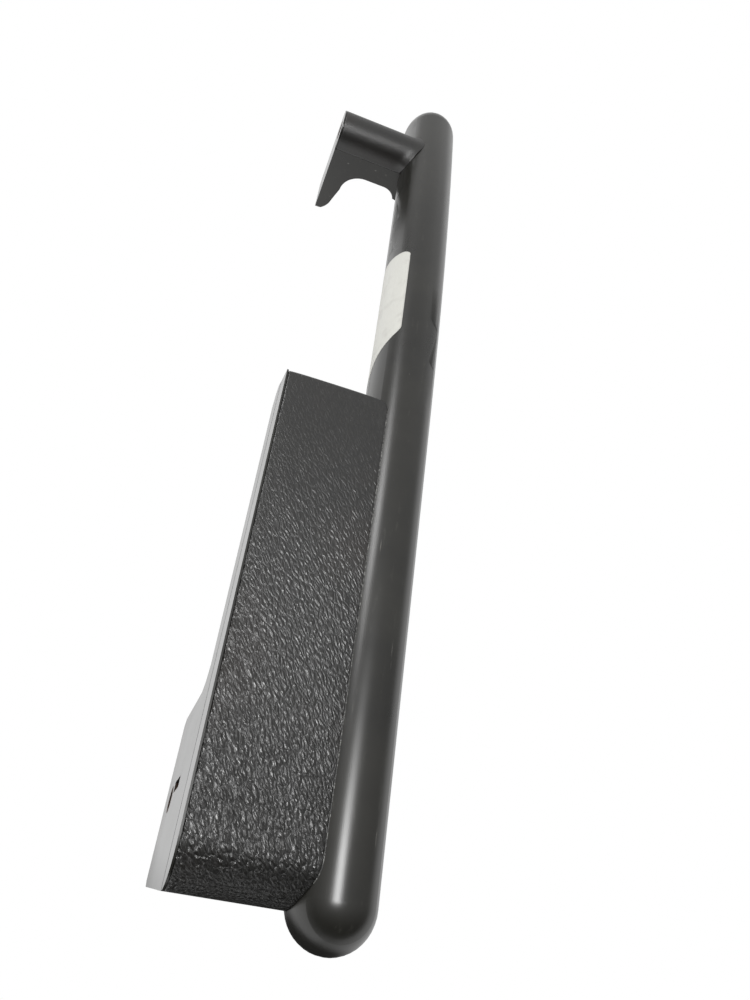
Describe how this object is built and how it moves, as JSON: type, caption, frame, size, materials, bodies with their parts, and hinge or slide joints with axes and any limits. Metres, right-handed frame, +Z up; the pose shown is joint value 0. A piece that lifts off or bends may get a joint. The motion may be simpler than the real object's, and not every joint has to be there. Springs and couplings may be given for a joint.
{
  "type": "wall-mounted grab rail",
  "caption": "Long black grab rail with domed ends, held off a wall by a leather-grained armrest block and a short far-end post with a tongue.",
  "frame": {"origin": "centre of the mouth of the threaded bush in the block's wall face", "axes": "+X along the rail from the block to the post, +Y into the wall, +Z up out of the grained pad"},
  "size_m": [0.5472, 0.0842, 0.1033],
  "materials": {
    "shell_plastic": "satin moulded black plastic, worn smooth",
    "grained_cover": "leather-grained black cover, soft sheen",
    "foam": "closed-cell foam",
    "bar_steel": "plain drawn bar",
    "sleeve_rubber": "moulded rubber",
    "zinc_steel": "zinc-plated sheet steel",
    "screw_steel": "zinc-plated",
    "bush_steel": "machined steel, dull",
    "cap_plastic": "moulded black plastic",
    "clip_steel": "spring steel, browned",
    "label_paper": "plain white film label, blank"
  },
  "bodies": {
    "root": {"upper_shell": "shell_plastic", "lower_shell": "shell_plastic", "pad_skin": "grained_cover", "post_skin": "grained_cover", "pad_foam": "foam", "core_bar": "bar_steel", "core_sleeves": "sleeve_rubber", "block_bracket": "zinc_steel", "post_bracket": "zinc_steel", "block_saddle": "zinc_steel", "post_saddle": "zinc_steel", "block_saddle_screws": "screw_steel", "post_saddle_screws": "screw_steel", "block_saddle_nuts": "screw_steel", "post_saddle_nuts": "screw_steel", "block_bush": "bush_steel", "post_bush": "bush_steel", "rail_screws": "screw_steel", "block_screws": "screw_steel", "rail_screw_caps": "cap_plastic", "block_screw_caps": "cap_plastic", "panel_clip": "clip_steel", "label": "label_paper"}
  },
  "joints": []
}
